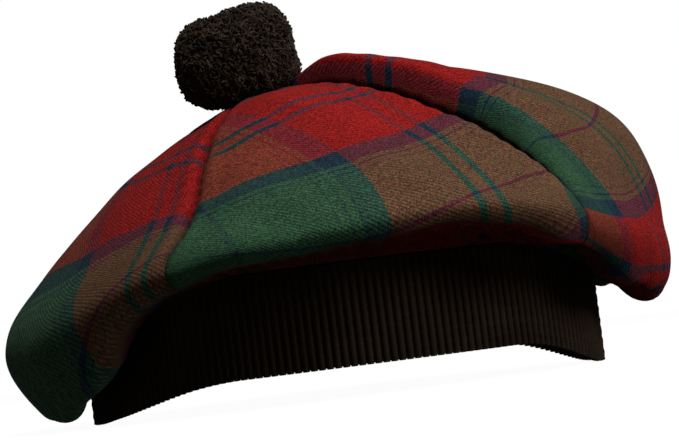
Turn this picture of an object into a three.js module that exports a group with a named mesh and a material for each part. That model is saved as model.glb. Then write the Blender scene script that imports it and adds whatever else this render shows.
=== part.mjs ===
// A tartan tam o' shanter as it rests on a level surface, in millimetres, with +Z up.
//
// Four gores of woollen cloth meet under a toorie (pompom). They rise to a soft crown, swell into a
// wide rim that droops on one side, turn under, and are gathered onto a ribbed knitted headband.
// The front of the hat faces -Y, and the origin is the bottom centre of its bounding box.
import * as THREE from "three";

const headband = {
  halfLength: 98.5, // outside of the oval along X
  halfWidth: 85, // outside of the oval along Y
  height: 37,
  thickness: 3,
  flare: 0.5, // the lower edge stands out this much further than the top
  edgeRound: 0.9,
  archRise: 10.4, // the soft band bows up off the surface at the front and the back
  archStart: 10, // degrees from the X axis where the bow begins
  archEndRight: 47, // and where it reaches its full rise, on the +X side
  archEndLeft: 65, // and on the -X side
  segments: 96,
};

const cloth = {
  thickness: 1.6,
  gap: 0.35, // clearance at seams and where cloth meets the band
  overhang: 1.5, // how far outside the band the cloth turns in over its top edge
  foldWidth: 7, // how wide the rim is along its underside
  columnsPerGore: 26,
  crownRows: 8,
  rimRows: 14,
  rimStart: 0.5, // the share of the way from the apex to the band where the closer rows begin
};

// Where the four gores meet. The small opening is covered by the toorie.
const apex = { x: -23, y: 2, z: 118.5, openingRadius: 5, tilt: 18 }; // tilt down to -X, in degrees

// The crown's outline, one row for each azimuth in degrees from +X towards +Y. The crest lies between
// the apex and the shoulder, the rim is the outermost point, and under is the lowest.
const crestPlace = 0.43; // the crest's share of the way to the shoulder
const sectionColumns = [
  "azimuth", "crest", "shoulderRadius", "shoulder", "rimRadius", "rim", "underRadius", "under",
];
const crownSections = [
  [0, 120.5, 108, 91, 125.5, 42, 121, 24],
  [30, 125.5, 99, 97, 125, 53, 116, 35],
  [60, 127, 92, 101, 127, 63, 115, 44],
  [90, 124, 92, 98, 127, 61, 115, 46],
  [120, 116, 93, 87, 127, 52, 114, 36],
  [150, 107, 95, 76, 127, 40, 115, 17],
  [180, 101, 97, 69, 126.5, 31, 116, 6.5],
  [210, 100, 97, 66, 126.5, 31, 116, 8.5],
  [240, 106, 93, 77, 125, 53, 114, 41],
  [270, 111, 90, 81, 124, 60, 114, 49],
  [300, 113, 90, 82, 124, 60, 114, 50],
  [330, 116, 98, 84, 125.5, 48, 119, 28],
].map((row) => Object.fromEntries(row.map((value, i) => [sectionColumns[i], value])));

// Each gore runs from its own seam to the next gore's. A seam's azimuth shifts between crown and rim.
const gores = [
  { name: "gore_front", seamOnCrown: 239, seamAtRim: 243, colour: 0x7d2b26 },
  { name: "gore_right", seamOnCrown: 316, seamAtRim: 316, colour: 0x6a2f26 },
  { name: "gore_back", seamOnCrown: 54, seamAtRim: 54, colour: 0x7d2b26 },
  { name: "gore_left", seamOnCrown: 147, seamAtRim: 147, colour: 0x35523a },
];

// Swells and folds that stand out from the smooth crown; places along the cloth run from 0 at the
// apex to 1 at the band, and places across it are degrees past a seam.
const folds = {
  puff: 3,
  puffPower: 3,
  puffStart: 0.03,
  puffFull: 0.3,
  puffFade: 0.8,
  ridgeGore: "gore_right",
  ridge: 7,
  ridgeStart: 0.05,
  ridgeFull: 0.25,
  ridgeFade: 0.5,
  ridgeEnd: 0.72,
  ridgeFoot: 9,
  ridgeCrest: 12,
  ridgeTail: 30,
  gathers: 18,
  gather: 2.6,
  gatherStart: 0.6,
  gatherFull: 0.85,
  gatherFade: 0.86,
  end: 0.97,
  seamStart: 0.3,
  seamEnd: 0.7,
  samples: 96, // points along each smooth curve
};

// Steps either side of a point for finding the way the cloth faces, in degrees and in shares of t.
const probe = { around: 0.5, aroundFolds: 0.6, along: 0.01 };

// A dense clipped pompom, squarish in outline, that leans to -X and is pressed on to the cloth.
const toorie = {
  x: -27.5,
  y: 1,
  z: 132.5,
  halfWidth: 25,
  halfHeight: 20,
  squareness: 3, // exponent of the superellipse, 2 for a ball
  lean: 5, // degrees
  clearance: 1.4, // above the cloth
  segments: 28,
  rings: 18,
};

const down = new THREE.Vector3(0, 0, -1);
const radians = THREE.MathUtils.degToRad;
const smoothstep = THREE.MathUtils.smoothstep;

// From 0 up to 1 between the first two places, and back down between the last two.
function riseAndFall(x, start, full, fade, end) {
  return smoothstep(x, start, full) * (1 - smoothstep(x, fade, end));
}

// ---- shared curves ----------------------------------------------------------------------------

// A column of the section table at any azimuth, by a smooth closed curve through its rows.
function sectionValue(column, azimuth) {
  const count = crownSections.length;
  const place = ((((azimuth % 360) + 360) % 360) / 360) * count;
  const row = Math.floor(place);
  const share = place - row;
  const at = (offset) => crownSections[(row + offset + count) % count][column];
  const [before, start, end, after] = [at(-1), at(0), at(1), at(2)];
  const slopeIn = (end - before) / 2;
  const slopeOut = (after - start) / 2;
  const square = share * share;
  const cube = square * share;
  return (
    (2 * cube - 3 * square + 1) * start +
    (cube - 2 * square + share) * slopeIn +
    (3 * square - 2 * cube) * end +
    (cube - square) * slopeOut
  );
}

// The headband's oval at an azimuth, inset from its outside face.
function bandRadius(azimuth, inset = 0) {
  const a = headband.halfLength - inset;
  const b = headband.halfWidth - inset;
  const angle = radians(azimuth);
  return (a * b) / Math.hypot(b * Math.cos(angle), a * Math.sin(angle));
}

// How far the band's lower edge is off the surface: nothing at the two sides that it rests on.
function bandLift(azimuth) {
  const fromSide = Math.abs(((((azimuth + 90) % 180) + 180) % 180) - 90);
  const archEnd = Math.cos(radians(azimuth)) > 0 ? headband.archEndRight : headband.archEndLeft;
  return headband.archRise * smoothstep(fromSide, headband.archStart, archEnd);
}

const bandTop = (azimuth) => bandLift(azimuth) + headband.height;

function polar(azimuth, radius, height) {
  const angle = radians(azimuth);
  return new THREE.Vector3(radius * Math.cos(angle), radius * Math.sin(angle), height);
}

// ---- the crown --------------------------------------------------------------------------------

const wrap = (degrees) => ((degrees % 360) + 360) % 360;

// The azimuth of a gore's first seam at t = 0 (apex) to 1 (band).
function seamAzimuth(index, t) {
  const { seamOnCrown, seamAtRim } = gores[index % gores.length];
  return THREE.MathUtils.lerp(seamOnCrown, seamAtRim, smoothstep(t, folds.seamStart, folds.seamEnd));
}

// The degrees from a gore's first seam to its second.
const goreSpan = (index, t) => wrap(seamAzimuth(index + 1, t) - seamAzimuth(index, t));

// Which gore an azimuth lies in, how many degrees past its first seam, and the gore's span.
function goreAt(azimuth, t) {
  const places = gores.map((gore, index) => ({
    name: gore.name,
    past: wrap(azimuth - seamAzimuth(index, t)),
    span: goreSpan(index, t),
  }));
  return places.find(({ past, span }) => past < span) ?? { ...places[0], past: 0 };
}

// The height of the tilted plane in which the gores meet.
const apexHeight = (x) => apex.z + (x - apex.x) * Math.tan(radians(apex.tilt));

const seatHeight = (azimuth) => bandTop(azimuth) + cloth.gap;

// The smooth cloth along one azimuth, from the apex over the rim and in to the band's top edge.
function meridian(azimuth) {
  const value = (column) => sectionValue(column, azimuth);
  const start = polar(azimuth, apex.openingRadius, 0).add(new THREE.Vector3(apex.x, apex.y, 0));
  start.z = apexHeight(start.x);
  const shoulder = polar(azimuth, value("shoulderRadius"), value("shoulder"));
  const crest = start.clone().lerp(shoulder, crestPlace).setZ(value("crest"));
  const curve = new THREE.CatmullRomCurve3(
    [
      start,
      crest,
      shoulder,
      polar(azimuth, value("rimRadius"), value("rim")),
      polar(azimuth, value("underRadius"), value("under")),
      polar(azimuth, value("underRadius") - cloth.foldWidth, value("under")),
      polar(azimuth, bandRadius(azimuth, -cloth.overhang), seatHeight(azimuth)),
    ],
    false,
    "centripetal",
  );
  return curve.getSpacedPoints(folds.samples);
}

const meridians = new Map();

// A point of the smooth cloth at t = 0 (apex) to 1 (the outside of the band's top edge).
function smoothPoint(azimuth, t) {
  const key = Math.round((((azimuth % 360) + 360) % 360) * 1000);
  if (!meridians.has(key)) meridians.set(key, meridian(azimuth));
  const points = meridians.get(key);
  const place = Math.min(Math.max(t, 0), 1) * (points.length - 1);
  const row = Math.min(Math.floor(place), points.length - 2);
  return points[row].clone().lerp(points[row + 1], place - row);
}

// How far the cloth stands out from its smooth form: each gore swells between its seams, a ridge
// runs along one seam, and the cloth under the rim is drawn up in gathers.
function swell(azimuth, t) {
  const { name, past, span } = goreAt(azimuth, t);
  const open = riseAndFall(t, folds.puffStart, folds.puffFull, folds.puffFade, folds.end);
  const puff = folds.puff * open * (1 - Math.abs((2 * past) / span - 1) ** folds.puffPower);
  return puff + ridge(name, past, t) + gather(azimuth, t);
}

function ridge(name, past, t) {
  if (name !== folds.ridgeGore) return 0;
  const along = riseAndFall(t, folds.ridgeStart, folds.ridgeFull, folds.ridgeFade, folds.ridgeEnd);
  const rise = riseAndFall(past, 0, folds.ridgeFoot, folds.ridgeCrest, folds.ridgeTail);
  return folds.ridge * along * rise;
}

function gather(azimuth, t) {
  const share = riseAndFall(t, folds.gatherStart, folds.gatherFull, folds.gatherFade, folds.end);
  const angle = radians(azimuth);
  const uneven = 0.75 + 0.25 * Math.sin(3 * angle + 1) + 0.3 * Math.sin(5 * angle);
  const wave = Math.sin(folds.gathers * angle + Math.sin(2 * angle) + 0.6 * Math.sin(5 * angle + 2));
  return folds.gather * share * uneven * wave;
}

function smoothNormal(azimuth, t) {
  return normalOf(smoothPoint, azimuth, t, probe.around);
}

// The outward direction at a place on the surface that a function of azimuth and t gives.
function normalOf(surface, azimuth, t, step) {
  const around = surface(azimuth + step, t).sub(surface(azimuth - step, t));
  const above = surface(azimuth, Math.max(t - probe.along, 0));
  const along = surface(azimuth, Math.min(t + probe.along, 1)).sub(above);
  return around.cross(along).negate().normalize();
}

function outerPoint(azimuth, t) {
  return smoothPoint(azimuth, t).addScaledVector(smoothNormal(azimuth, t), swell(azimuth, t));
}

function outerNormal(azimuth, t) {
  return normalOf(outerPoint, azimuth, t, probe.aroundFolds);
}

// A closed shell from a grid of outside points and the matching inside ones.
function shellGeometry(outer, inner) {
  const rows = outer.length;
  const columns = outer[0].length;
  const positions = [];
  for (const p of [...outer.flat(), ...inner.flat()]) {
    positions.push(p.x, p.y, p.z);
  }
  const at = (layer, row, column) => layer * rows * columns + row * columns + column;
  const triangles = [];
  const last = columns - 1;
  const quad = (a, b, c, d) => triangles.push(a, b, c, a, c, d);
  for (let r = 0; r < rows - 1; r++) {
    for (let c = 0; c < columns - 1; c++) {
      quad(at(0, r, c), at(0, r + 1, c), at(0, r + 1, c + 1), at(0, r, c + 1));
      quad(at(1, r, c), at(1, r, c + 1), at(1, r + 1, c + 1), at(1, r + 1, c));
    }
  }
  for (let c = 0; c < columns - 1; c++) {
    quad(at(0, 0, c), at(0, 0, c + 1), at(1, 0, c + 1), at(1, 0, c));
    quad(at(0, rows - 1, c + 1), at(0, rows - 1, c), at(1, rows - 1, c), at(1, rows - 1, c + 1));
  }
  for (let r = 0; r < rows - 1; r++) {
    quad(at(0, r + 1, 0), at(0, r, 0), at(1, r, 0), at(1, r + 1, 0));
    quad(at(0, r, last), at(0, r + 1, last), at(1, r + 1, last), at(1, r, last));
  }
  const geometry = new THREE.BufferGeometry();
  geometry.setAttribute("position", new THREE.Float32BufferAttribute(positions, 3));
  geometry.setIndex(triangles);
  geometry.computeVertexNormals();
  return geometry;
}

// Rows are closer together round the rim than over the crown.
function rowPlace(row) {
  if (row <= cloth.crownRows) return (cloth.rimStart * row) / cloth.crownRows;
  return Math.min(cloth.rimStart + ((1 - cloth.rimStart) * (row - cloth.crownRows)) / cloth.rimRows, 1);
}

function goreGeometry(index) {
  const lastRow = cloth.crownRows + cloth.rimRows;
  const outer = [];
  const inner = [];
  for (let row = 0; row <= lastRow + 1; row++) {
    const t = rowPlace(row);
    const outerRow = [];
    const innerRow = [];
    for (let column = 0; column <= cloth.columnsPerGore; column++) {
      const azimuth = seamAzimuth(index, t) + (goreSpan(index, t) * column) / cloth.columnsPerGore;
      // The row after the last lies across the band's top edge, so the row before it is mitred.
      const across = polar(azimuth, bandRadius(azimuth, headband.thickness), seatHeight(azimuth));
      const point = row > lastRow ? across : outerPoint(azimuth, t);
      const normal = row > lastRow ? down.clone() : outerNormal(azimuth, t);
      if (row === lastRow) normal.add(down).normalize();
      // The first and last columns draw back from the seam by half the gap.
      const side = column === 0 ? 1 : column === cloth.columnsPerGore ? -1 : 0;
      const before = smoothPoint(azimuth - probe.around, t);
      const around = smoothPoint(azimuth + probe.around, t).sub(before).normalize();
      point.addScaledVector(around, (side * cloth.gap) / 2);
      outerRow.push(point);
      innerRow.push(point.clone().addScaledVector(normal, -cloth.thickness));
    }
    outer.push(outerRow);
    inner.push(innerRow);
  }
  return shellGeometry(outer, inner);
}

// ---- the headband and the toorie --------------------------------------------------------------

// The band's wall as a closed outline of inset and height, carried round the oval.
function bandGeometry() {
  const { height, thickness, flare, edgeRound } = headband;
  const outline = [
    { inset: edgeRound - flare, rise: 0 },
    { inset: -flare, rise: edgeRound },
    { inset: -flare * 0.4, rise: height * 0.4 },
    { inset: 0, rise: height },
    { inset: thickness, rise: height },
    { inset: thickness - flare * 0.4, rise: height * 0.4 },
    { inset: thickness - flare, rise: edgeRound },
    { inset: thickness - flare - edgeRound, rise: 0 },
  ];
  const positions = [];
  const triangles = [];
  for (let s = 0; s < headband.segments; s++) {
    const azimuth = (360 * s) / headband.segments;
    for (const { inset, rise } of outline) {
      const p = polar(azimuth, bandRadius(azimuth, inset), bandLift(azimuth) + rise);
      positions.push(p.x, p.y, p.z);
    }
  }
  const at = (s, k) => (s % headband.segments) * outline.length + (k % outline.length);
  for (let s = 0; s < headband.segments; s++) {
    for (let k = 0; k < outline.length; k++) {
      triangles.push(at(s, k), at(s + 1, k), at(s + 1, k + 1));
      triangles.push(at(s, k), at(s + 1, k + 1), at(s, k + 1));
    }
  }
  const geometry = new THREE.BufferGeometry();
  geometry.setAttribute("position", new THREE.Float32BufferAttribute(positions, 3));
  geometry.setIndex(triangles);
  geometry.computeVertexNormals();
  return geometry;
}

// A squarish ball with soft lumps. Its underside takes the shape of the cloth that it is pressed on to.
function toorieGeometry(crown) {
  const place = new THREE.Matrix4().makeRotationY(radians(-toorie.lean));
  place.setPosition(toorie.x, toorie.y, toorie.z);
  const below = new THREE.Raycaster();
  const geometry = new THREE.SphereGeometry(1, toorie.segments, toorie.rings);
  const position = geometry.getAttribute("position");
  const point = new THREE.Vector3();
  for (let i = 0; i < position.count; i++) {
    point.fromBufferAttribute(position, i);
    const n = toorie.squareness;
    const norm = (Math.abs(point.x) ** n + Math.abs(point.y) ** n + Math.abs(point.z) ** n) ** (1 / n);
    const lump = 1 + toorieLump(point);
    point.multiplyScalar(lump / norm);
    point.set(point.x * toorie.halfWidth, point.z * toorie.halfWidth, point.y * toorie.halfHeight);
    point.applyMatrix4(place);
    below.set(point.clone().setZ(toorie.z + 100), down);
    const [hit] = below.intersectObjects(crown);
    const floor = hit ? hit.point.z : apexHeight(point.x);
    point.z = Math.max(point.z, floor + toorie.clearance);
    position.setXYZ(i, point.x, point.y, point.z);
  }
  // Swapping two axes turned the faces round, so each triangle is turned back.
  const index = geometry.getIndex();
  for (let i = 0; i < index.count; i += 3) {
    const second = index.getX(i + 1);
    index.setX(i + 1, index.getX(i + 2));
    index.setX(i + 2, second);
  }
  geometry.computeVertexNormals();
  return geometry;
}

// Uneven lumps, and a flattened top, as shares of the ball's size.
function toorieLump({ x, y, z }) {
  const broad = 0.035 * Math.sin(3.1 * x + 1.7 * z + 0.6);
  const small = 0.03 * Math.sin(3.7 * y - 2.3 * x);
  return broad + small - 0.05 * Math.max(0, y) ** 4;
}

// ---- assembly ---------------------------------------------------------------------------------

const tam = new THREE.Group();
tam.name = "tam_o_shanter";

function addMesh(name, geometry, colour, roughness) {
  const material = new THREE.MeshStandardMaterial({ color: colour, roughness, metalness: 0 });
  const mesh = new THREE.Mesh(geometry, material);
  mesh.name = name;
  tam.add(mesh);
  return mesh;
}

const crown = gores.map((gore, index) => addMesh(gore.name, goreGeometry(index), gore.colour, 0.9));
addMesh("headband", bandGeometry(), 0x14110f, 0.95);
addMesh("toorie", toorieGeometry(crown), 0x12100f, 1);

// Move the hat so that its bounding box stands centred on the origin.
const bounds = new THREE.Box3().setFromObject(tam, true);
const middle = bounds.getCenter(new THREE.Vector3());
tam.position.set(-middle.x, -middle.y, -bounds.min.z);

export default tam;
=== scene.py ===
import math

import bpy
import numpy as np
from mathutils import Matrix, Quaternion, Vector


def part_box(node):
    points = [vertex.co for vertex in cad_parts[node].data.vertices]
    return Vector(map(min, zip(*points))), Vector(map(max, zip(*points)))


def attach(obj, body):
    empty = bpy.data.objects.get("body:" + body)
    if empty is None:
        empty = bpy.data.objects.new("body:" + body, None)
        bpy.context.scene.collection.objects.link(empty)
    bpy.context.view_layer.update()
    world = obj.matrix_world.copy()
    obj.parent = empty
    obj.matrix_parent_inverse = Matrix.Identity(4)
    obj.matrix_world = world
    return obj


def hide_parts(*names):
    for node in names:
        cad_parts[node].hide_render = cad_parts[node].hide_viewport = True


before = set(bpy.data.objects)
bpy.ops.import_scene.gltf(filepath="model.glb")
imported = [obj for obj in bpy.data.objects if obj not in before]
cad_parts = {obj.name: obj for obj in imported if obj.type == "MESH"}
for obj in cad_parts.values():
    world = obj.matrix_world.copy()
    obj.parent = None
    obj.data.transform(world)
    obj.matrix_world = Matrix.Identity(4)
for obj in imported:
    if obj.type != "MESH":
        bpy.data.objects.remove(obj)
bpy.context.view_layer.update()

scene = bpy.context.scene
mm = 0.001

bandLow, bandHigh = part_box("headband")
hatMiddle = np.array(((bandLow.x + bandHigh.x) / 2, (bandLow.y + bandHigh.y) / 2, bandLow.z))


# Shader wires: sums and products written as expressions add their Math nodes.
class Wire:
    def __init__(self, bench, socket):
        self.bench, self.socket = bench, socket

    def maths(self, operation, *values):
        return self.bench.add("ShaderNodeMath", {"operation": operation}, values)

    def __add__(self, other):
        return self.maths("ADD", self, other)

    def __sub__(self, other):
        return self.maths("SUBTRACT", self, other)

    def __rsub__(self, other):
        return self.maths("SUBTRACT", other, self)

    def __mul__(self, other):
        return self.maths("MULTIPLY", self, other)

    def __truediv__(self, other):
        return self.maths("DIVIDE", self, other)

    def __mod__(self, other):
        return self.maths("FLOORED_MODULO", self, other)

    def __lt__(self, other):
        return self.maths("LESS_THAN", self, other)

    __radd__, __rmul__ = __add__, __mul__

    def floor(self):
        return self.maths("FLOOR", self)

    def sine(self):
        return self.maths("SINE", self)

    def fold(self, half):
        return self.maths("PINGPONG", self, half)


# One material or node group being wired up.
class Bench:
    def __init__(self, tree):
        self.tree = tree

    def add(self, kind, settings=None, values=(), out=0):
        node = self.tree.nodes.new(kind)
        for name, setting in (settings or {}).items():
            if name == "stops":
                self.setStops(node.color_ramp, setting)
            else:
                setattr(node, name, setting)
        pairs = values.items() if isinstance(values, dict) else enumerate(values)
        for key, value in pairs:
            self.feed(node.inputs[key], value)
        self.last = node
        return Wire(self, node.outputs[out]) if len(node.outputs) else node

    def feed(self, socket, value):
        if isinstance(value, Wire):
            self.tree.links.new(value.socket, socket)
        else:
            socket.default_value = value

    def setStops(self, ramp, setting):
        ramp.interpolation, stops = setting
        for place, colour in stops[1:]:
            ramp.elements.new(place)
        for element, (place, colour) in zip(ramp.elements, stops):
            element.position = place
            element.color = (*colour, 1)

    def blend(self, factor, first, second, mode="MIX"):
        node = self.tree.nodes.new("ShaderNodeMix")
        node.data_type, node.blend_type = "RGBA", mode
        self.feed(node.inputs["Factor"], factor)
        for socket, value in zip([s for s in node.inputs if s.type == "RGBA"], (first, second)):
            self.feed(socket, value)
        return Wire(self, [s for s in node.outputs if s.type == "RGBA"][0])


def newMaterial(name):
    material = bpy.data.materials.new(name)
    material.use_nodes = True
    material.node_tree.nodes.clear()
    return material, Bench(material.node_tree)


dullness = 0.06              # wool and cloth hardly shine


def finishMaterial(bench, colour, roughness, normal, sheen, sheenTint):
    shader = bench.add("ShaderNodeBsdfPrincipled", None, {
        "Base Color": colour, "Roughness": roughness, "Normal": normal,
        "Specular IOR Level": dullness, "Sheen Weight": sheen, "Sheen Roughness": 0.5,
        "Sheen Tint": (*sheenTint, 1),
    })
    bench.add("ShaderNodeOutputMaterial", None, {"Surface": shader})


# The tartan: half a repeat of the sett, from the middle of the red out to the middle of the green.
tartan = {
    "halfRepeat": 81.0,      # mm
    "sett": (                # where each stripe starts, in mm
        (0.0, "red"), (2.5, "blue"), (5.3, "red"), (35.0, "blue"), (43.5, "green"), (46.0, "blue"),
        (46.9, "green"), (49.4, "blue"), (50.2, "green"), (79.9, "blue"),
    ),
    "red": (0.255, 0.0078, 0.0065),
    "blue": (0.010, 0.026, 0.044),
    "green": (0.028, 0.078, 0.038),
    "thread": 0.46,          # mm from one thread to the next
    "twill": 4.0,            # threads in a repeat of the weave, of which over are the first way's
    "over": 3.0,
    "fuzz": 0.25,            # how far the fibres blur one thread into the next
    "waleShade": 0.42,       # how dark the painted shade in the grooves between twill lines is
    "bump": 0.5, "bumpHeight": 0.25,
    "fibreScale": 1300.0,
    "melange": 0.30,         # how uneven the dye is from fibre to fibre
    "cloudScale": 45.0, "cloud": 0.35,
    # how much the painted shade along the seams and under the rim darkens the cloth
    "paintedShadeStrength": 0.45,
    "speck": 1.2,           # how uneven one thread crossing is from the next
    "roughness": 0.86,
    "sheen": 0.02,
}


def makeTartan():
    material, bench = newMaterial("tartanTwill")
    place = bench.add("ShaderNodeUVMap", {"uv_map": "cloth"})
    across = bench.add("ShaderNodeSeparateXYZ", None, [place])
    split = bench.last
    along = across * (1 / (tartan["thread"] * mm))
    cross = Wire(bench, split.outputs[1]) * (1 / (tartan["thread"] * mm))
    half = tartan["halfRepeat"] / tartan["thread"]
    stops = [(start / tartan["halfRepeat"], tartan[name]) for start, name in tartan["sett"]]
    first, second = along.floor(), cross.floor()
    firstColour = bench.add("ShaderNodeValToRGB", {"stops": ("CONSTANT", stops)},
                            [(first + 0.5).fold(half) / half])
    secondColour = bench.add("ShaderNodeValToRGB", {"stops": ("CONSTANT", stops)},
                             [(second + 0.5).fold(half) / half])
    onTop = ((first - second) % tartan["twill"]) < tartan["over"]
    mixed = (1 - tartan["fuzz"]) - onTop * (1 - 2 * tartan["fuzz"])
    colour = bench.blend(mixed, firstColour, secondColour)
    wale = ((along - cross) * (math.pi * 2 / tartan["twill"])).sine()
    threads = ((along * math.pi * 2).sine() + (cross * math.pi * 2).sine()) * 0.25
    fibre = bench.add("ShaderNodeTexNoise", {"noise_dimensions": "2D"},
                      {"Vector": place, "Scale": tartan["fibreScale"], "Detail": 3.0, "Roughness": 0.6})
    crossing = bench.add("ShaderNodeCombineXYZ", None, [first, second, 0.0])
    speck = bench.add("ShaderNodeTexWhiteNoise", {"noise_dimensions": "2D"}, {"Vector": crossing})
    cloudy = bench.add("ShaderNodeTexNoise", {"noise_dimensions": "2D"},
                       {"Vector": place, "Scale": tartan["cloudScale"], "Detail": 3.0})
    # painted shade along the seams and where the cloth turns in under the rim
    paintedShadeMask = bench.add("ShaderNodeAttribute", {"attribute_name": "crease"}, out=2)
    # painted shade in the grooves between the twill lines
    value = (1 - tartan["waleShade"] * 0.5) + wale * (tartan["waleShade"] * 0.5)
    value = value * (1 + (fibre - 0.5) * (tartan["melange"] * 2))
    value = value * (1 + (cloudy - 0.5) * tartan["cloud"])
    value = value * (1 - tartan["speck"] * 0.5 + speck * tartan["speck"])
    # painted shade: darker along the seams and under the rim
    value = value * (1 - paintedShadeMask * tartan["paintedShadeStrength"])
    shade = bench.add("ShaderNodeCombineXYZ", None, [value, value, value])
    colour = bench.blend(1.0, colour, shade, "MULTIPLY")
    height = wale * 0.5 + threads + (fibre - 0.5) * 0.8
    normal = bench.add("ShaderNodeBump", None,
                       {"Strength": tartan["bump"], "Distance": tartan["bumpHeight"] * mm,
                        "Height": height})
    rough = tartan["roughness"] + (fibre - 0.5) * 0.2
    finishMaterial(bench, colour, rough, normal, tartan["sheen"], (0.8, 0.7, 0.65))
    return material


# The crown's outline in mm from the middle of the headband: one row for each azimuth in degrees.
crown = {
    "columns": ("azimuth", "crest", "shoulderRadius", "shoulder", "rimRadius", "rim",
                "underRadius", "under"),
    "rows": (
        (0, 120.5, 113, 91, 128, 41, 122, 24),
        (30, 125.5, 99, 97, 125, 53, 116, 35),
        (60, 127, 92, 101, 127, 63, 115, 44),
        (90, 124, 92, 98, 127, 61, 115, 46),
        (120, 116, 93, 87, 127, 52, 114, 36),
        (150, 107, 95, 76, 127, 40, 115, 17),
        (180, 101, 97, 69, 126.5, 31, 116, 6.5),
        (210, 100, 97, 66, 126.5, 31, 116, 8.5),
        (240, 106, 93, 77, 125, 49, 121, 43),
        (270, 111, 90, 82, 125.5, 57, 122, 51.5),
        (300, 113, 90, 83, 125.5, 59, 122, 53.5),
        (330, 116, 98, 85, 126, 46, 121, 29),
    ),
    "apex": (-23, 2, 118.5), "apexRadius": 5, "apexTilt": 18, "crestPlace": 0.43,
    "foldWidth": 7, "overhang": 1.5, "bandGap": 0.35,
    "azimuths": 720, "steps": 241,
}

headband = {
    "halfLength": 98.5, "halfWidth": 85, "height": 37, "thickness": 3,
    "archRise": 10.4, "archStart": 10, "archEndRight": 47, "archEndLeft": 65,
    "core": 0.9,             # mm of rib that stands out from the core on each face
    "coreFoot": 0.7, "coreTop": 0.2, "coreSides": 288, "ribFoot": 0.35,   # mm in from the edges
    "ribs": 200, "ribRadius": 1.22, "ribSteps": 25, "ribSides": 8,
    "stitch": 2.4, "stitchDepth": 0.16,
    "dark": (0.0145, 0.0085, 0.0052), "worn": (0.046, 0.031, 0.020),
}


def ease(x, start, end):
    share = np.clip((x - start) / (end - start), 0, 1)
    return share * share * (3 - 2 * share)


def riseAndFall(x, start, full, fade, end):
    return ease(x, start, full) * (1 - ease(x, fade, end))


def unit(vectors):
    return vectors / (np.linalg.norm(vectors, axis=-1, keepdims=True) + 1e-12)


def polar(azimuth, radius, height):
    angle = np.radians(azimuth)
    return np.stack([radius * np.cos(angle), radius * np.sin(angle), height + 0 * angle], -1)


def bandRadius(azimuth, inset=0.0):
    a, b = headband["halfLength"] - inset, headband["halfWidth"] - inset
    angle = np.radians(azimuth)
    return a * b / np.hypot(b * np.cos(angle), a * np.sin(angle))


def bandLift(azimuth):
    fromSide = np.abs((azimuth + 90) % 180 - 90)
    end = np.where(np.cos(np.radians(azimuth)) > 0, headband["archEndRight"], headband["archEndLeft"])
    return headband["archRise"] * ease(fromSide, headband["archStart"], end)


def sectionValue(name, azimuth):
    column = np.array([row[crown["columns"].index(name)] for row in crown["rows"]], float)
    place = (azimuth % 360) / 360 * len(column)
    row = np.floor(place).astype(int)
    s = place - row
    before, start, end, after = [column[(row + k) % len(column)] for k in (-1, 0, 1, 2)]
    slopeIn, slopeOut = (end - before) / 2, (after - start) / 2
    return hermite(s, start, slopeIn, end, slopeOut)


def hermite(s, start, slopeIn, end, slopeOut):
    cube, square = s ** 3, s ** 2
    return ((2 * cube - 3 * square + 1) * start + (cube - 2 * square + s) * slopeIn
            + (3 * square - 2 * cube) * end + (cube - square) * slopeOut)


# The smooth cloth: even steps from the apex, over the rim and in to the band's top edge.
def crownSurface():
    azimuth = np.arange(crown["azimuths"]) * 360 / crown["azimuths"]
    value = {name: sectionValue(name, azimuth) for name in crown["columns"][1:]}
    x, y, z = crown["apex"]
    start = polar(azimuth, crown["apexRadius"], 0) + np.array([x, y, 0])
    start[:, 2] = z + (start[:, 0] - x) * math.tan(math.radians(crown["apexTilt"]))
    shoulder = polar(azimuth, value["shoulderRadius"], value["shoulder"])
    crest = start + (shoulder - start) * crown["crestPlace"]
    crest[:, 2] = value["crest"]
    seat = bandLift(azimuth) + headband["height"] + crown["bandGap"]
    knots = [start, crest, shoulder, polar(azimuth, value["rimRadius"], value["rim"]),
             polar(azimuth, value["underRadius"], value["under"]),
             polar(azimuth, value["underRadius"] - crown["foldWidth"], value["under"]),
             polar(azimuth, bandRadius(azimuth, -crown["overhang"]), seat)]
    knots = [2 * knots[0] - knots[1]] + knots + [2 * knots[-1] - knots[-2]]
    pieces = []
    for k in range(len(knots) - 3):
        p0, p1, p2, p3 = knots[k:k + 4]
        d0, d1, d2 = [np.linalg.norm(b - a, axis=1)[:, None] ** 0.5
                      for a, b in ((p0, p1), (p1, p2), (p2, p3))]
        first = ((p1 - p0) / d0 - (p2 - p0) / (d0 + d1) + (p2 - p1) / d1) * d1
        second = ((p2 - p1) / d1 - (p3 - p1) / (d1 + d2) + (p3 - p2) / d2) * d1
        s = np.linspace(0, 1, 66)[None, :, None]
        pieces.append(hermite(s, p1[:, None], first[:, None], p2[:, None], second[:, None]))
    curve = np.concatenate(pieces, 1)
    steps = np.linalg.norm(np.diff(curve, axis=1), axis=2)
    length = np.concatenate([np.zeros((len(azimuth), 1)), np.cumsum(steps, 1)], 1)
    even = np.linspace(0, 1, crown["steps"])
    surface = np.empty((len(azimuth), crown["steps"], 3))
    for i in range(len(azimuth)):
        for axis in range(3):
            surface[i, :, axis] = np.interp(even * length[i, -1], length[i], curve[i, :, axis])
    around = np.roll(surface, -1, 0) - np.roll(surface, 1, 0)
    return surface, unit(-np.cross(around, np.gradient(surface, axis=1)))


def sample(table, azimuth, t):
    place = (azimuth % 360) / 360 * table.shape[0]
    i = np.floor(place).astype(int)
    u = (place - i)[..., None]
    down = np.clip(t, 0, 1) * (table.shape[1] - 1)
    j = np.minimum(np.floor(down).astype(int), table.shape[1] - 2)
    v = (down - j)[..., None]
    i0, i1 = i % table.shape[0], (i + 1) % table.shape[0]
    return ((table[i0, j] * (1 - u) + table[i1, j] * u) * (1 - v)
            + (table[i0, j + 1] * (1 - u) + table[i1, j + 1] * u) * v)


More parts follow.
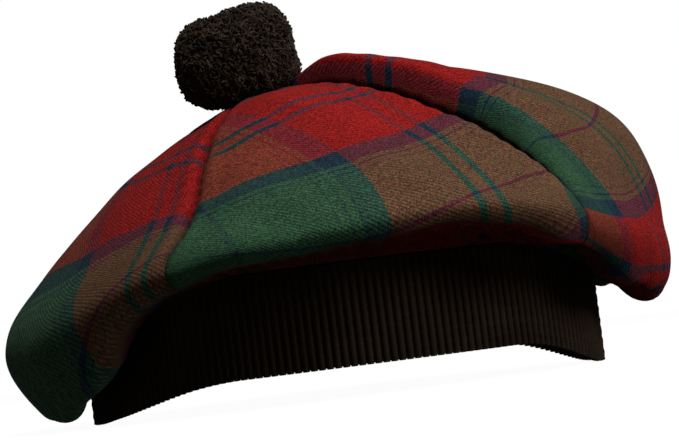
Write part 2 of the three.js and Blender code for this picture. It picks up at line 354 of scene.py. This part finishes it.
# Each gore runs from its own seam to the next one's, given in degrees at the crown and at the rim.
# Along and across say how the tartan lies on it, in mm from the middle of a red field: a start, then
# shares of p and q (down the gore's middle line and across it), then of p*p, p*q and q*q over 100,
# by which the cloth is eased. A strip says that the grain keeps beside a seam instead. turnIn is how
# far the tartan is moved where the cloth turns in under the rim.
gores = {
    "gore_front": {"seam": (239, 243), "flat": (162, 193), "area": 197,
                   "along": (-53.9, 0.978, 0.404, -0.059, -0.191, 0.435),
                   "across": (-3.8, -0.328, 0.92, 0.079, -0.006, 0.068), "turnIn": 40},
    "gore_right": {"seam": (316, 316), "flat": (221, 238), "area": 332,
                   "along": (-47.3, 0.906, -0.057, 0.088, 0.215, 0.216),
                   "seamStrip": (2.0, 0.055, 39.0, 1.2)},
    "gore_back": {"seam": (54, 54), "flat": (214, 200), "area": 282,
                  "along": (-56.0, 0.995, 0.08, 0, 0, 0.1), "across": (14.0, -0.08, 0.995, 0, 0, 0)},
    "gore_left": {"seam": (147, 147), "flat": (227, 216), "area": 304,
                  "along": (-46.9, 0.992, 0.014, -0.181, 0.154, -0.126),
                  "lastStrip": 13.0, "turnIn": 35},
}
cloth = {
    "thickness": 1.4, "across": 161, "down": 150, "length": 195, "seamGap": 0.08, "scarf": 0.45,
    "puff": 2.4, "seamDepth": 1.3, "seamWidth": 1.9, "seamRoll": 0.6, "rollPlace": 4.5, "rollWidth": 3,
    "pucker": 0.38, "puckerLength": 8.5, "puckerReach": 8.0,
    "ridge": 9.0, "ridgeAcross": (-2.5, 5, 10, 30),              # in degrees past the seam
    "gathers": 18, "gather": 2.6, "taut": (0.6, 0.85), "tautShare": 0.85,
    "pleats": 43, "pleat": 1.4, "wrinkle": 0.55,
    "pocket": 5.0, "pocketAzimuth": 322, "pocketWidth": 7,
    # how far the painted shade reaches from a seam in mm, then how strong the painted shade is under the
    # rim
    "crease": 1.6, "shade": 1.2, "shadeFrom": (0.84, 0.9), "turnFrom": (0.84, 0.87),
    "spans": {               # where each starts, is full, fades and ends, from the apex 0 to the band 1
        "puff": (0.03, 0.3, 0.6, 0.78), "ridge": (0.02, 0.16, 0.5, 0.76),
        "gather": (0.68, 0.87, 0.88, 0.97), "pleat": (0.85, 0.92, 0.95, 0.995),
        "pocket": (0.8, 0.88, 0.92, 0.985), "pucker": (0.1, 0.2, 0.8, 0.95),
        "wrinkle": (0.08, 0.3, 0.85, 0.96), "seam": (0.0, 0.06, 0.6, 0.85),
        # the last window is where the painted shade beside the seams lies
        "crease": (0.02, 0.08, 0.9, 0.97),
    },
}


def seamAzimuth(index, t):
    crownAzimuth, rimAzimuth = list(gores.values())[index % len(gores)]["seam"]
    return crownAzimuth + (rimAzimuth - crownAzimuth) * ease(t, 0.3, 0.7)


# How far the cloth stands out from its smooth form, in mm.
def swell(name, azimuth, t, past, span, fromSeam):
    angle, length = np.radians(azimuth), t * cloth["length"]
    share = {kind: riseAndFall(t, *window) for kind, window in cloth["spans"].items()}
    puff = cloth["puff"] * share["puff"] * (1 - np.abs(2 * past / span - 1) ** 3)
    if name == "gore_front":
        puff = puff * (1 - ease(past / span, 0.5, 0.9))          # it lies flat beside the ridge
    ridge = 0
    if name == "gore_right":
        ridge = cloth["ridge"] * share["ridge"] * riseAndFall(past, *cloth["ridgeAcross"])
    uneven = 0.75 + 0.25 * np.sin(3 * angle + 1) + 0.3 * np.sin(5 * angle)
    wave = np.sin(cloth["gathers"] * angle + np.sin(2 * angle) + 0.6 * np.sin(5 * angle + 2))
    taut = ease(-np.sin(angle), *cloth["taut"])                  # the front is drawn smooth
    gather = cloth["gather"] * share["gather"] * uneven * wave * (1 - cloth["tautShare"] * taut)
    fine = np.sin(cloth["pleats"] * angle + 1.7 * np.sin(3 * angle + 0.5) + 0.9 * np.sin(7 * angle))
    fine = 1 - 2 * np.abs(fine) ** 0.7                           # sharp ridges and round hollows
    gather = gather + cloth["pleat"] * share["pleat"] * fine
    fromPocket = (azimuth % 360 - cloth["pocketAzimuth"]) / cloth["pocketWidth"]
    gather = gather - cloth["pocket"] * np.exp(-fromPocket ** 2) * share["pocket"]
    valley = -cloth["seamDepth"] * np.exp(-(fromSeam / cloth["seamWidth"]) ** 2)
    roll = np.exp(-((fromSeam - cloth["rollPlace"]) / cloth["rollWidth"]) ** 2)
    valley = valley + cloth["seamRoll"] * roll
    pucker = np.sin(2 * math.pi * length / cloth["puckerLength"] + 2 * np.sin(length / 19))
    pucker = (cloth["pucker"] * pucker * np.exp(-fromSeam / cloth["puckerReach"]) * share["pucker"])
    x, y = length * np.cos(angle), length * np.sin(angle)
    wrinkle = (np.sin(x / 9 + 1.3 * np.sin(y / 21)) * np.sin(y / 13 + 1.1 * np.sin(x / 17) + 1)
               + 0.6 * np.sin((x + y) / 6.5 + 2 * np.sin(x / 23)) * np.sin(y / 19 + 2))
    wrinkle = cloth["wrinkle"] * wrinkle * share["wrinkle"]
    return puff + ridge + gather + (valley + pucker) * share["seam"] + wrinkle


# Where a row of cloth lies when it is laid flat on an arc: how far it falls back, and how far across.
def centred(first, run):
    share = np.where(np.abs(first) > 1e-5, first, 1)
    bent = first * run
    down = np.where(np.abs(first) > 1e-5, (1 - np.cos(bent)) / share, 0.5 * first * run * run)
    across = np.where(np.abs(first) > 1e-5, np.sin(bent) / share, run)
    return down, across


# Lays the gore flat: p runs down its middle line from the apex and q across it, in mm.
def layFlat(points):
    middle = points.shape[0] // 2
    down = np.concatenate([[0], np.cumsum(np.linalg.norm(np.diff(points[middle], axis=0), axis=1))])
    across = np.linalg.norm(np.diff(points, axis=0), axis=2)
    run = np.concatenate([np.zeros((1, points.shape[1])), np.cumsum(across, 0)], 0)
    fromFirst, run = run, run - run[middle]
    halfWidth = (run[-1] - run[0]) / 2
    bend = np.clip(np.gradient(halfWidth, down) / np.maximum(halfWidth, 1e-6), -0.004, 1 / (down + 5))
    bend = np.convolve(np.pad(bend, 4, mode="edge"), np.ones(9) / 9, "valid")
    dip, q = centred(bend[None, :] + 0 * run, run)
    return down[None, :] - dip, q, fromFirst


def tartanPlace(name, p, q, fromFirst, t):
    gore = gores[name]
    terms = (1, p, q, p * p / 100, p * q / 100, q * q / 100)
    along, across = [sum(share * term for share, term in zip(gore.get(way, (0,)), terms))
                     for way in ("along", "across")]
    if "seamStrip" in gore:                                      # the grain follows the first seam
        width, widen, middle, gain = gore["seamStrip"]
        across = fromFirst - width - widen * p * p / 100
        across = across + np.minimum(across, 0) * gain - middle
    if "lastStrip" in gore:                                      # and here the last seam
        across = gore["lastStrip"] - (fromFirst[-1:] - fromFirst)
    along = along + gore.get("turnIn", 0) * ease(t, *cloth["turnFrom"])
    return along * mm, across * mm


# The faces of a closed shell: its outer layer, its inner layer and its four edges.
def shellFaces(columns, rows):
    def at(layer, c, r):
        return layer * columns * rows + c * rows + r
    c, r = np.meshgrid(np.arange(columns - 1), np.arange(rows - 1), indexing="ij")
    c, r = c.ravel(), r.ravel()
    faces = [np.stack([at(0, c, r), at(0, c, r + 1), at(0, c + 1, r + 1), at(0, c + 1, r)], 1),
             np.stack([at(1, c, r), at(1, c + 1, r), at(1, c + 1, r + 1), at(1, c, r + 1)], 1)]
    c, r = np.arange(columns - 1), np.arange(rows - 1)
    last, end = columns - 1, rows - 1
    faces.append(np.stack([at(0, c, 0), at(0, c + 1, 0), at(1, c + 1, 0), at(1, c, 0)], 1))
    faces.append(np.stack([at(0, c + 1, end), at(0, c, end), at(1, c, end), at(1, c + 1, end)], 1))
    faces.append(np.stack([at(0, 0, r + 1), at(0, 0, r), at(1, 0, r), at(1, 0, r + 1)], 1))
    faces.append(np.stack([at(0, last, r), at(0, last, r + 1), at(1, last, r + 1), at(1, last, r)], 1))
    return np.concatenate(faces)


def newPiece(name, points, faces, material):
    mesh = bpy.data.meshes.new(name)
    mesh.from_pydata((np.asarray(points) * mm + hatMiddle).tolist(), [], [list(face) for face in faces])
    mesh.polygons.foreach_set("use_smooth", [True] * len(mesh.polygons))
    mesh.materials.append(material)
    piece = bpy.data.objects.new(name, mesh)
    scene.collection.objects.link(piece)
    return piece


def setCloth(mesh, u, v, crease):
    loops = np.empty(len(mesh.loops), int)
    mesh.loops.foreach_get("vertex_index", loops)
    layer = mesh.uv_layers.new(name="cloth")
    layer.data.foreach_set("uv", np.stack([u[loops], v[loops]], 1).ravel())
    # the painted shade of the seams and of the turned-in cloth
    mesh.attributes.new("crease", "FLOAT", "POINT").data.foreach_set("value", crease)


def makeGore(index, name, surface, normals, material):
    t = np.linspace(0, 1, cloth["down"])[None, :]
    share = np.linspace(0, 1, cloth["across"])[:, None]
    first = seamAzimuth(index, t)
    span = (seamAzimuth(index + 1, t) - first) % 360
    past = span * share
    azimuth, place = first + past, t + 0 * past
    base, normal = sample(surface, azimuth, place), unit(sample(normals, azimuth, place))
    p, q, fromFirst = layFlat(base)
    fromSeam = np.minimum(fromFirst, fromFirst[-1:] - fromFirst)
    outer = base + normal * swell(name, azimuth, place, past, span, fromSeam)[..., None]
    around = unit(np.gradient(base, axis=0))
    for column, side in ((0, 1), (-1, -1)):
        outer[column] += around[column] * side * cloth["seamGap"] / 2
    p, q, fromFirst = layFlat(outer)
    thickness = normal * cloth["thickness"]
    thickness[:, -1] = unit(normal[:, -1] + np.array([0, 0, -1])) * cloth["thickness"]
    inner = outer - thickness + around * cloth["scarf"]          # its edges slant, so no light passes
    edge = azimuth[:, -1]                                        # it ends across the band's top
    seat = bandLift(edge) + headband["height"] + crown["bandGap"]
    tuck = polar(edge, bandRadius(edge, headband["thickness"]), seat)[:, None]
    tuckUp = tuck + np.array([0, 0, cloth["thickness"]])
    outer, inner = np.concatenate([outer, tuck], 1), np.concatenate([inner, tuckUp], 1)
    u, v = [np.concatenate([grid, grid[:, -1:]], 1)
            for grid in tartanPlace(name, p, q, fromFirst, place)]
    # painted shade in the seam valleys, darkest at the seams
    crease = np.exp(-(fromSeam / cloth["crease"]) ** 2)
    crease = crease * riseAndFall(place, *cloth["spans"]["crease"])
    turned = cloth["shade"] * ease(place, *cloth["shadeFrom"])   # painted shade where it turns in under the rim
    crease = np.maximum(crease, turned)
    crease = np.concatenate([crease, crease[:, -1:]], 1)
    points = np.concatenate([outer.reshape(-1, 3), inner.reshape(-1, 3)])
    piece = newPiece(name + "_cloth", points, shellFaces(*outer.shape[:2]), material)
    setCloth(piece.data, *[np.tile(grid.ravel(), 2) for grid in (u, v, crease)])
    print(name, "rows", outer.shape[1], "columns", outer.shape[0])
    return piece


tartanTwill = makeTartan()
surface, normals = crownSurface()
gorePieces = {name: makeGore(index, name, surface, normals, tartanTwill)
              for index, name in enumerate(gores)}
print("the four gores are cut and gathered")


def newTree(name, inputs):
    tree = bpy.data.node_groups.new(name, "GeometryNodeTree")
    tree.interface.new_socket(name="Geometry", in_out="INPUT", socket_type="NodeSocketGeometry")
    for label, kind in inputs:
        tree.interface.new_socket(name=label, in_out="INPUT", socket_type="NodeSocket" + kind)
    tree.interface.new_socket(name="Geometry", in_out="OUTPUT", socket_type="NodeSocketGeometry")
    bench = Bench(tree)
    bench.add("NodeGroupInput")
    source = bench.last
    return tree, bench, {socket.name: Wire(bench, socket) for socket in source.outputs if socket.name}


# Runs a tree on a piece with its inputs set, and leaves the result as a plain mesh.
def grow(piece, tree, values):
    modifier = piece.modifiers.new(tree.name, "NODES")
    modifier.node_group = tree
    for item in tree.interface.items_tree:
        if item.in_out == "INPUT" and item.name in values:
            modifier[item.identifier] = values[item.name]
    graph = bpy.context.evaluated_depsgraph_get()
    result = bpy.data.meshes.new_from_object(piece.evaluated_get(graph))
    piece.modifiers.remove(modifier)
    piece.data = result
    result.polygons.foreach_set("use_smooth", [True] * len(result.polygons))
    return piece


def makeKnit():
    material, bench = newMaterial("ribbedKnit")
    place = bench.add("ShaderNodeTexCoord", out=3)
    fibre = bench.add("ShaderNodeTexNoise", None, {"Vector": place, "Scale": 1500.0, "Detail": 3.0})
    worn = bench.add("ShaderNodeTexNoise", None, {"Vector": place, "Scale": 28.0, "Detail": 4.0})
    height = bench.add("ShaderNodeSeparateXYZ", None, [place], out=2)
    stitches = (height * (2 * math.pi / (headband["stitch"] * mm * 0.5))).sine()
    mask = bench.add("ShaderNodeMapRange", None, [worn, 0.45, 0.75, 0.0, 1.0])
    colour = bench.blend(mask * 0.6 + (fibre - 0.5) * 0.5,
                         (*headband["dark"], 1), (*headband["worn"], 1))
    normal = bench.add("ShaderNodeBump", None, {
        "Strength": 0.5, "Distance": 0.2 * mm, "Height": stitches * 0.4 + fibre})
    finishMaterial(bench, colour, 0.9 + (fibre - 0.5) * 0.1, normal, 0.08, (0.6, 0.45, 0.35))
    return material


def makeCore(material):
    foot, top = headband["coreFoot"], headband["height"] - headband["coreTop"]
    outside, inside = headband["core"], headband["thickness"] - headband["core"]
    outline = [(outside, foot), (outside, top), (inside, top), (inside, foot)]
    azimuth = np.arange(headband["coreSides"]) * 360 / headband["coreSides"]
    rings = [polar(azimuth, bandRadius(azimuth, inset), bandLift(azimuth) + rise)
             for inset, rise in outline]
    points = np.stack(rings, 1).reshape(-1, 3)
    count, sides = len(azimuth), len(outline)
    faces = [(s * sides + k, (s + 1) % count * sides + k,
              (s + 1) % count * sides + (k + 1) % sides, s * sides + (k + 1) % sides)
             for s in range(count) for k in range(sides)]
    piece = newPiece("headband_core", points, faces, material)
    piece.data.polygons.foreach_set("use_smooth", [False] * len(faces))
    return piece


# One knitted rib is a column of stitches. It stands at every point and faces that point's way.
def makeRibs(material):
    tree, bench, given = newTree("knitRibs", (
        ("Height", "Float"), ("Radius", "Float"), ("Stitch", "Float"), ("Depth", "Float"),
        ("Steps", "Int"), ("Sides", "Int"), ("Material", "Material")))
    top = bench.add("ShaderNodeCombineXYZ", None, [0.0, 0.0, given["Height"]])
    line = bench.add("GeometryNodeCurvePrimitiveLine", None, {"Start": (0, 0, 0), "End": top})
    line = bench.add("GeometryNodeResampleCurve", None, {"Curve": line, "Count": given["Steps"]})
    place = bench.add("GeometryNodeInputPosition")
    height = bench.add("ShaderNodeSeparateXYZ", None, [place], out=2)
    wave = (height * (2 * math.pi) / given["Stitch"]).sine() * given["Depth"]
    shift = bench.add("ShaderNodeCombineXYZ", None, [wave, 0.0, 0.0])
    line = bench.add("GeometryNodeSetPosition", None, {"Geometry": line, "Offset": shift})
    ring = bench.add("GeometryNodeCurvePrimitiveCircle", None,
                     {"Resolution": given["Sides"], "Radius": given["Radius"]})
    column = bench.add("GeometryNodeCurveToMesh", None,
                       {"Curve": line, "Profile Curve": ring, "Fill Caps": True})
    facing = bench.add("GeometryNodeInputNamedAttribute", {"data_type": "FLOAT_VECTOR"},
                       {"Name": "facing"})
    turned = bench.add("FunctionNodeAlignRotationToVector", {"axis": "X"}, {"Vector": facing})
    ribs = bench.add("GeometryNodeInstanceOnPoints", None,
                     {"Points": given["Geometry"], "Instance": column, "Rotation": turned})
    ribs = bench.add("GeometryNodeRealizeInstances", None, {"Geometry": ribs})
    ribs = bench.add("GeometryNodeSetMaterial", None, {"Geometry": ribs, "Material": given["Material"]})
    bench.add("NodeGroupOutput", None, {"Geometry": ribs})

    fine = np.linspace(0, 360, 5761)
    oval = polar(fine, bandRadius(fine), 0 * fine)
    length = np.concatenate([[0], np.cumsum(np.linalg.norm(np.diff(oval, axis=0), axis=1))])
    azimuth = np.interp(np.arange(headband["ribs"]) / headband["ribs"] * length[-1], length, fine)
    feet, facings = [], []
    for inset, side in ((headband["ribRadius"], 1), (headband["thickness"] - headband["ribRadius"], -1)):
        foot = polar(azimuth, bandRadius(azimuth, inset), bandLift(azimuth) + headband["ribFoot"])
        feet.append(foot)
        facings.append(unit(np.cross(np.roll(foot, -1, 0) - np.roll(foot, 1, 0), (0, 0, 1))) * side)
    piece = newPiece("headband_ribs", np.concatenate(feet), [], material)
    attribute = piece.data.attributes.new("facing", "FLOAT_VECTOR", "POINT")
    attribute.data.foreach_set("vector", np.concatenate(facings).ravel())
    return grow(piece, tree, {
        "Height": (headband["height"] - 2 * headband["ribFoot"]) * mm,
        "Radius": headband["ribRadius"] * mm,
        "Stitch": headband["stitch"] * mm, "Depth": headband["stitchDepth"] * mm,
        "Steps": headband["ribSteps"], "Sides": headband["ribSides"], "Material": material})


ribbedKnit = makeKnit()
core, ribs = makeCore(ribbedKnit), makeRibs(ribbedKnit)
print("the headband has", headband["ribs"], "ribs on each face,", len(ribs.data.polygons), "faces")

toorie = {
    "squareness": 3.5, "dent": 0.12, "lean": 5, "sink": 3.1, "clearance": 1.2,
    "segments": 96, "rings": 64,
    "strands": 960000.0,     # per square metre
    "strandLength": 2.3, "strandThick": 0.62, "seed": 7,
    "dark": (0.0095, 0.0058, 0.0038), "light": (0.042, 0.028, 0.018),
}


def makeWool():
    material, bench = newMaterial("toorieWool")
    place = bench.add("ShaderNodeTexCoord", out=3)
    fibre = bench.add("ShaderNodeTexNoise", None, {"Vector": place, "Scale": 900.0, "Detail": 4.0})
    tufts = bench.add("ShaderNodeTexNoise", None, {"Vector": place, "Scale": 170.0, "Detail": 2.0})
    mask = bench.add("ShaderNodeMapRange", None, [tufts, 0.38, 0.68, 0.0, 1.0])
    colour = bench.blend(mask * 0.8 + (fibre - 0.5) * 0.6,
                         (*toorie["dark"], 1), (*toorie["light"], 1))
    normal = bench.add("ShaderNodeBump", None, {"Strength": 0.6, "Distance": 0.3 * mm, "Height": fibre})
    finishMaterial(bench, colour, 0.92 + (fibre - 0.5) * 0.1, normal, 0.15, (0.6, 0.5, 0.42))
    return material


def makeToorie(material):
    low, high = [np.array(corner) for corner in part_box("toorie")]
    middle = ((low + high) / 2 - hatMiddle) / mm
    half = (high - low) / 2 / mm - toorie["sink"]
    theta = np.linspace(0, math.pi, toorie["rings"] + 1)[1:-1]
    phi = np.arange(toorie["segments"]) * 2 * math.pi / toorie["segments"]
    ring, turn = [grid.ravel() for grid in np.meshgrid(theta, phi, indexing="ij")]
    points = np.stack([np.sin(ring) * np.cos(turn), np.sin(ring) * np.sin(turn), np.cos(ring)], 1)
    points = np.concatenate([points, [(0, 0, 1), (0, 0, -1)]])
    x, y, z = points.T
    norm = (np.abs(points) ** toorie["squareness"]).sum(1) ** (1 / toorie["squareness"])
    lump = (1 + 0.035 * np.sin(3.1 * x - 1.7 * y + 0.6) + 0.03 * np.sin(3.7 * z - 2.3 * x)
            + 0.02 * np.sin(7 * x + 5 * z) * np.sin(6 * y - 4 * z + 1)
            - toorie["dent"] * np.exp(-((x + 0.3) ** 2 + (z - 0.95) ** 2) / 0.06))
    points = points * (lump / norm)[:, None] * half
    lean = math.radians(toorie["lean"])
    spin = np.array([[math.cos(lean), 0, -math.sin(lean)], [0, 1, 0],
                     [math.sin(lean), 0, math.cos(lean)]])
    points = points @ spin.T + middle
    reach = surface[::8, :80].reshape(-1, 3)                     # the cloth under it
    for i, point in enumerate(points):
        near = reach[np.argmin(((reach[:, :2] - point[:2]) ** 2).sum(1))]
        points[i, 2] = max(point[2], near[2] + toorie["clearance"])
    count, rows = toorie["segments"], toorie["rings"] - 1
    faces = [(r * count + s, (r + 1) * count + s,
              (r + 1) * count + (s + 1) % count, r * count + (s + 1) % count)
             for r in range(rows - 1) for s in range(count)]
    top, base = rows * count, rows * count + 1
    faces += [(top, s, (s + 1) % count) for s in range(count)]
    faces += [(base, (rows - 1) * count + (s + 1) % count, (rows - 1) * count + s) for s in range(count)]
    return newPiece("toorie_wool", points, faces, material)


# Short curled strands of wool stand all over the ball.
def addPile(piece, material):
    tree, bench, given = newTree("tooriePile", (
        ("Density", "Float"), ("Length", "Float"), ("Thickness", "Float"), ("Seed", "Int"),
        ("Material", "Material")))
    ball = given["Geometry"]
    bench.add("GeometryNodeDistributePointsOnFaces", {"distribute_method": "RANDOM"},
              {"Mesh": ball, "Density": given["Density"], "Seed": given["Seed"]})
    spread = bench.last
    points, facing = Wire(bench, spread.outputs["Points"]), Wire(bench, spread.outputs["Rotation"])
    bend = bench.add("ShaderNodeCombineXYZ", None, [given["Length"] * 0.15, 0.0, given["Length"] * 0.75])
    tip = bench.add("ShaderNodeCombineXYZ", None, [given["Length"] * 0.75, given["Length"] * 0.1,
                                                   given["Length"] * 0.45])
    strand = bench.add("GeometryNodeCurveQuadraticBezier", None, {
        "Resolution": 3, "Start": (0, 0, 0), "Middle": bend, "End": tip})
    ring = bench.add("GeometryNodeCurvePrimitiveCircle", None,
                     {"Resolution": 4, "Radius": given["Thickness"] * 0.5})
    strand = bench.add("GeometryNodeCurveToMesh", None,
                       {"Curve": strand, "Profile Curve": ring, "Fill Caps": True})
    twist = bench.add("FunctionNodeRandomValue", {"data_type": "FLOAT_VECTOR"}, {
        "Min": (-0.5, -0.5, -3.14), "Max": (0.5, 0.5, 3.14), "Seed": given["Seed"]})
    twist = bench.add("FunctionNodeEulerToRotation", None, [twist])
    facing = bench.add("FunctionNodeRotateRotation", {"rotation_space": "LOCAL"}, [facing, twist])
    scale = bench.add("FunctionNodeRandomValue", {"data_type": "FLOAT"}, out=1)
    for key, value in (("Min", 0.7), ("Max", 1.25)):
        [s for s in bench.last.inputs if s.name == key and s.type == "VALUE"][0].default_value = value
    pile = bench.add("GeometryNodeInstanceOnPoints", None, {
        "Points": points, "Instance": strand, "Rotation": facing, "Scale": scale})
    pile = bench.add("GeometryNodeRealizeInstances", None, {"Geometry": pile})
    both = bench.add("GeometryNodeJoinGeometry", None, [ball])
    bench.tree.links.new(pile.socket, bench.last.inputs[0])
    both = bench.add("GeometryNodeSetMaterial", None, {"Geometry": both, "Material": given["Material"]})
    bench.add("NodeGroupOutput", None, {"Geometry": both})
    return grow(piece, tree, {
        "Density": toorie["strands"], "Length": toorie["strandLength"] * mm,
        "Thickness": toorie["strandThick"] * mm, "Seed": toorie["seed"], "Material": material})


toorieWool = makeWool()
ball = addPile(makeToorie(toorieWool), toorieWool)
print("the toorie has", len(ball.data.polygons), "faces")

for name, piece in gorePieces.items():
    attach(piece, "root")
    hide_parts(name)
for piece in (core, ribs):
    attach(piece, "root")
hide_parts("headband")
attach(ball, "root")
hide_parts("toorie")

studio = {
    "floor": (0.10, 0.10, 0.10), "floorGlow": 0.97, "sweep": 3.0, "ambient": 0.09, "backdrop": 1.0,
    "lights": (  # place in metres from the hat, size, power
        ((0.22, -0.45, 1.20), 0.7, 14.6),
        ((1.00, -0.60, 0.50), 0.5, 7.5),
    ),
    "cameraDistance": 0.900, "cameraHeight": 0.020, "aim": (4.2, 0.0, 64.8), "lens": 124.0, "roll": 7.3,
}


def makeStudio():
    material, bench = newMaterial("paleFloor")
    place = bench.add("ShaderNodeTexCoord", out=3)
    grain = bench.add("ShaderNodeTexNoise", None, {"Vector": place, "Scale": 3.0})
    pale = studio["floor"]
    colour = bench.blend(grain, (*[c * 0.99 for c in pale], 1), (*pale, 1))
    shader = bench.add("ShaderNodeBsdfPrincipled", None, {
        "Base Color": colour, "Roughness": 0.9, "Specular IOR Level": 0.0,
        "Emission Color": (1, 1, 1, 1), "Emission Strength": studio["floorGlow"]})
    bench.add("ShaderNodeOutputMaterial", None, {"Surface": shader})
    size = studio["sweep"]
    mesh = bpy.data.meshes.new("floor")
    corners = [(-size, -size, 0), (size, -size, 0), (size, size, 0), (-size, size, 0)]
    mesh.from_pydata(corners, [], [(0, 1, 2, 3)])
    mesh.materials.append(material)
    floor = bpy.data.objects.new("floor", mesh)
    floor.visible_diffuse = floor.visible_glossy = False         # its glow doesn't light the hat
    scene.collection.objects.link(floor)
    world = bpy.data.worlds.new("studio")
    scene.world = world
    world.use_nodes = True
    world.node_tree.nodes.clear()
    bench = Bench(world.node_tree)
    seen = bench.add("ShaderNodeLightPath")
    strength = studio["ambient"] + seen * (studio["backdrop"] - studio["ambient"])
    light = bench.add("ShaderNodeBackground", None, {"Color": (1, 1, 1, 1), "Strength": strength})
    bench.add("ShaderNodeOutputWorld", None, {"Surface": light})
    for number, (offset, size, power) in enumerate(studio["lights"]):
        lamp = bpy.data.lights.new(f"softbox{number}", "AREA")
        lamp.shape, lamp.size, lamp.energy = "SQUARE", size, power
        holder = bpy.data.objects.new(lamp.name, lamp)
        holder.location = Vector(offset)
        holder.rotation_euler = (-Vector(offset)).to_track_quat("-Z", "Y").to_euler()
        scene.collection.objects.link(holder)


def makeCamera():
    lens = bpy.data.cameras.new("camera")
    lens.sensor_width, lens.lens = 36.0, studio["lens"]
    lens.clip_start = 0.01
    camera = bpy.data.objects.new("camera", lens)
    camera.location = Vector(hatMiddle) + Vector((0, -studio["cameraDistance"], studio["cameraHeight"]))
    aim = Vector(hatMiddle) + Vector(studio["aim"]) * mm
    facing = (aim - camera.location).to_track_quat("-Z", "Y")
    roll = Quaternion((0, 0, 1), -math.radians(studio["roll"]))
    camera.rotation_euler = (facing @ roll).to_euler()
    scene.collection.objects.link(camera)
    scene.camera = camera


makeStudio()
makeCamera()
scene.view_settings.view_transform = "Standard"
print("the studio is lit and the camera is set")
